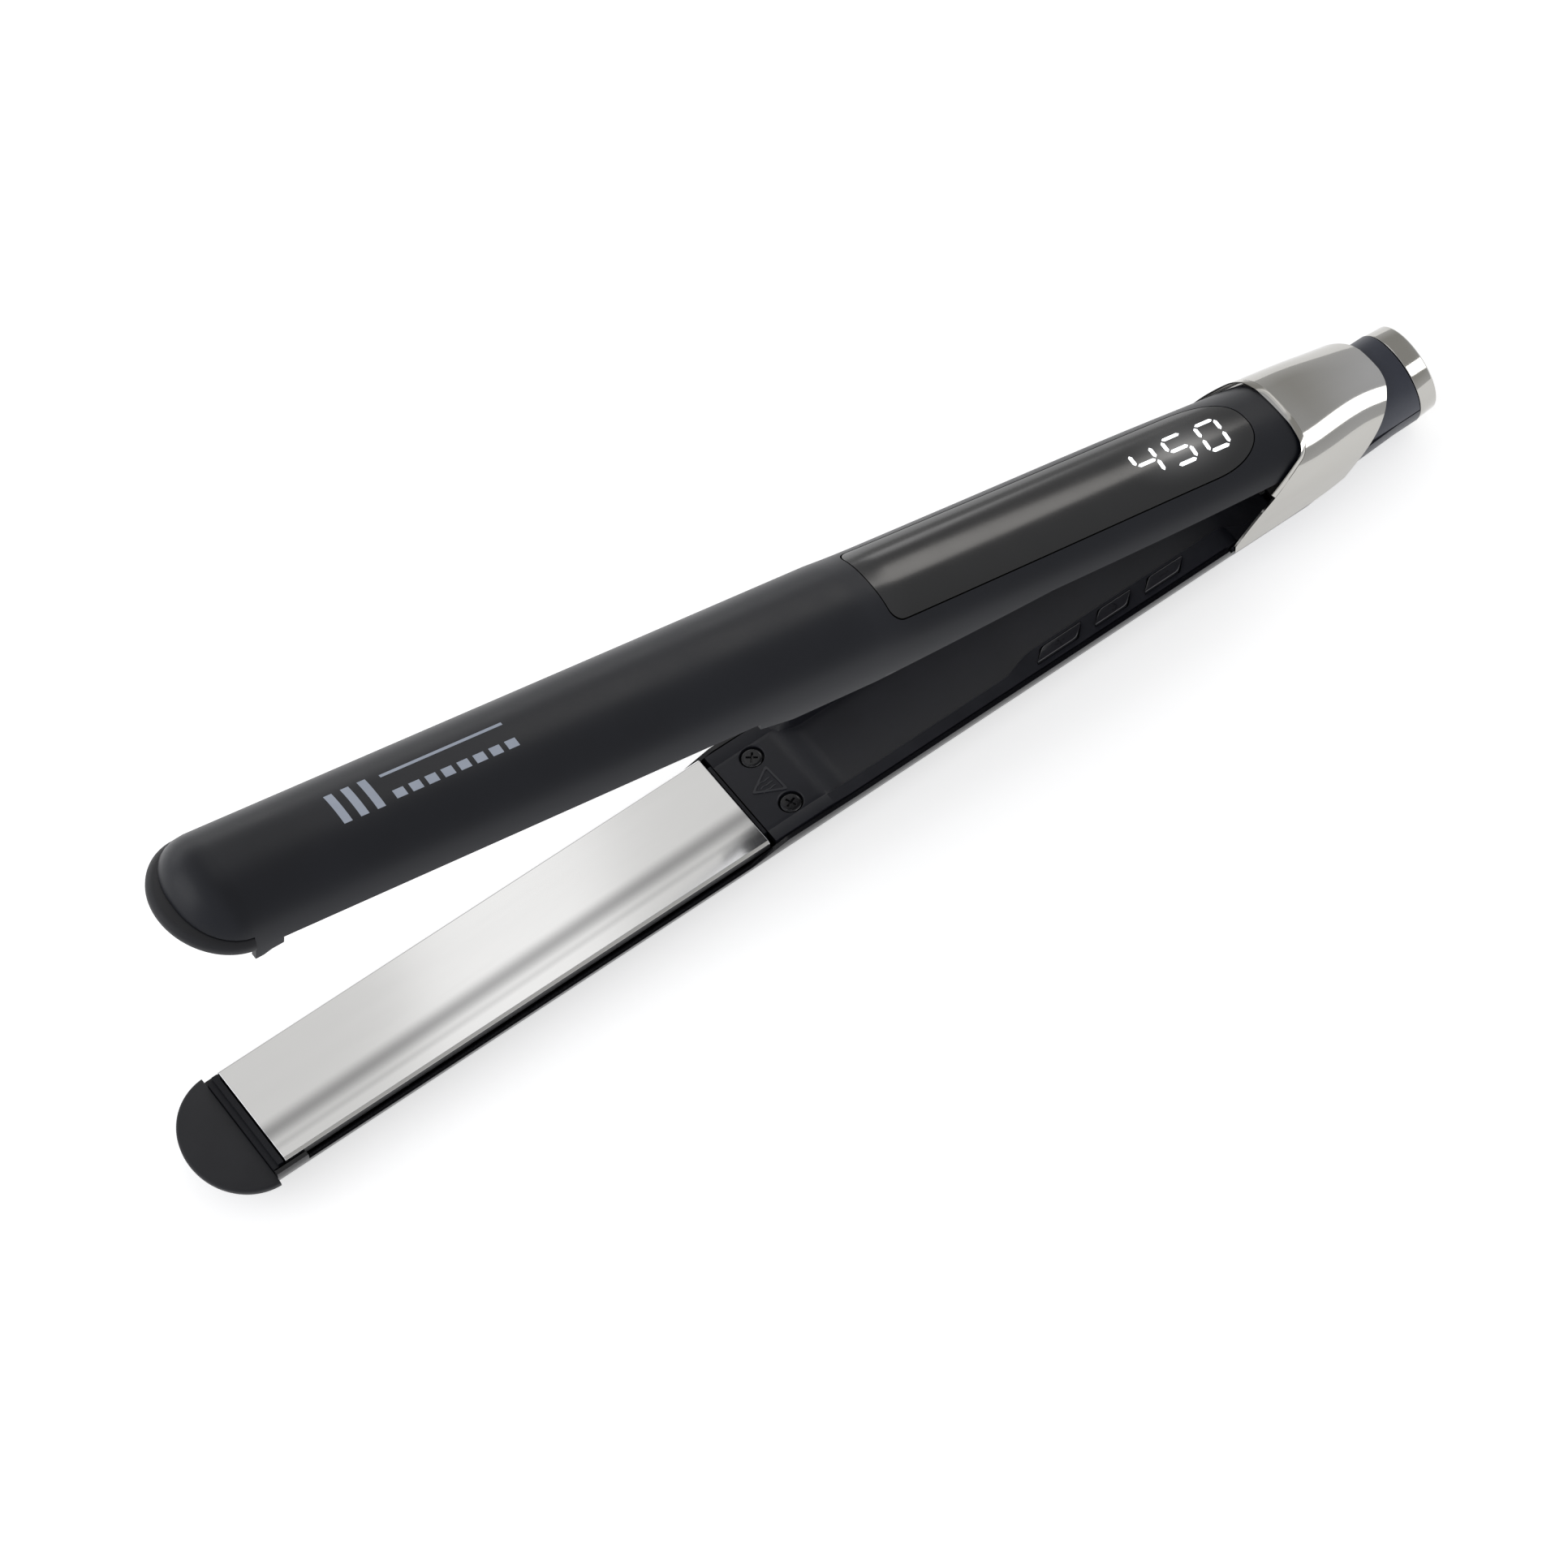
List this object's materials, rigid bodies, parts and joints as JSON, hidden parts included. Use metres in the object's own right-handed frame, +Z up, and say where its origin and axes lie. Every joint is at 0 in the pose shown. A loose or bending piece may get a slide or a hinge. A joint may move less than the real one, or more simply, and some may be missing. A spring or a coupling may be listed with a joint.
{
  "type": "flat iron",
  "caption": "Slim flat iron lying open: hinged arms with floating plates, side buttons, smoked display panel, polished hinge hood and a round cord end.",
  "frame": {"origin": "centre of the footprint, on the surface the closed lower arm rests on, with the arms open as in the picture", "axes": "+X from the tip toward the cord end, +Y across the arms, +Z up"},
  "size_m": [0.3038, 0.0296, 0.0966],
  "materials": {
    "shell_soft_touch": "soft-touch satin black",
    "inner_plastic": "matte blue-black",
    "plate_metal": "polished ceramic-coated silver",
    "heater_ceramic": "matte",
    "cushion_silicone": "matte silicone",
    "black_screw": "black oxide",
    "circuit_board": "solder mask",
    "steel": "plain",
    "lead_insulation": "glass-braid sleeve",
    "polished_metal": "polished dark chrome",
    "barrel_plastic": "matte dark blue-grey",
    "smoked_panel": "semi-gloss smoked panel",
    "display_black": "dark display module",
    "button_plastic": "semi-gloss dark grey"
  },
  "bodies": {
    "lower_arm": {"lower_shell": "shell_soft_touch", "lower_tip_cap": "inner_plastic", "lower_plate_carrier": "inner_plastic", "lower_cushion_front": "cushion_silicone", "lower_cushion_rear": "cushion_silicone", "lower_inner_cover": "inner_plastic", "cover_screw_near": "black_screw", "cover_screw_far": "black_screw", "button_board": "circuit_board", "switch_plus": "steel", "switch_power": "steel", "switch_minus": "steel", "control_board": "circuit_board", "thermal_fuse": "steel", "lead_live": "lead_insulation", "lead_neutral": "lead_insulation", "hinge_base": "steel", "hinge_pin": "steel", "hinge_spring": "steel", "hinge_hood": "polished_metal", "barrel_cover": "barrel_plastic", "end_ring": "polished_metal", "gland_retainer": "steel"},
    "upper_arm": {"upper_shell": "shell_soft_touch", "upper_tip_cap": "inner_plastic", "upper_plate_carrier": "inner_plastic", "upper_cushion_front": "cushion_silicone", "upper_cushion_rear": "cushion_silicone", "upper_inner_cover": "inner_plastic", "upper_screw_near": "black_screw", "upper_screw_far": "black_screw", "display_window": "smoked_panel", "display_board": "circuit_board", "display_module": "display_black", "hinge_knuckle": "steel"},
    "lower_plate_float": {"lower_plate": "plate_metal", "lower_heater": "heater_ceramic"},
    "upper_plate_float": {"upper_plate": "plate_metal", "upper_heater": "heater_ceramic"},
    "plus_button": {"plus_button": "button_plastic"},
    "power_button": {"power_button": "button_plastic"},
    "minus_button": {"minus_button": "button_plastic"},
    "cord_gland": {"cord_gland": "inner_plastic"}
  },
  "joints": [
    {"name": "arm_hinge", "type": "hinge", "parent": "lower_arm", "child": "upper_arm", "pos_m": [0.12495, 0, 0.0123], "axis": [0, -1, 0], "range_deg": [0, 15.67], "stiffness_Nm_per_rad": 0.9, "springref_deg": -14.32, "deforming": ["hinge_spring"]},
    {"name": "lower_plate_float_slide", "type": "slide", "parent": "lower_arm", "child": "lower_plate_float", "axis": [0, 0, -1], "range_m": [0, 0.0004], "stiffness_N_per_m": 8000, "springref_m": -0.0003, "deforming": ["lower_cushion_front", "lower_cushion_rear"]},
    {"name": "upper_plate_float_slide", "type": "slide", "parent": "upper_arm", "child": "upper_plate_float", "axis": [0.2701, 0, 0.9628], "range_m": [0, 0.0004], "stiffness_N_per_m": 8000, "springref_m": -0.0003, "deforming": ["upper_cushion_front", "upper_cushion_rear"]},
    {"name": "plus_button_press", "type": "slide", "parent": "lower_arm", "child": "plus_button", "axis": [0, 0, -1], "range_m": [0, 0.0006], "stiffness_N_per_m": 900, "springref_m": -0.0004},
    {"name": "power_button_press", "type": "slide", "parent": "lower_arm", "child": "power_button", "axis": [0, 0, -1], "range_m": [0, 0.0006], "stiffness_N_per_m": 900, "springref_m": -0.0004},
    {"name": "minus_button_press", "type": "slide", "parent": "lower_arm", "child": "minus_button", "axis": [0, 0, -1], "range_m": [0, 0.0006], "stiffness_N_per_m": 900, "springref_m": -0.0004},
    {"name": "gland_swivel", "type": "hinge", "parent": "lower_arm", "child": "cord_gland", "pos_m": [0.14545, 0, 0.01025], "axis": [1, 0, 0], "continuous": true}
  ]
}
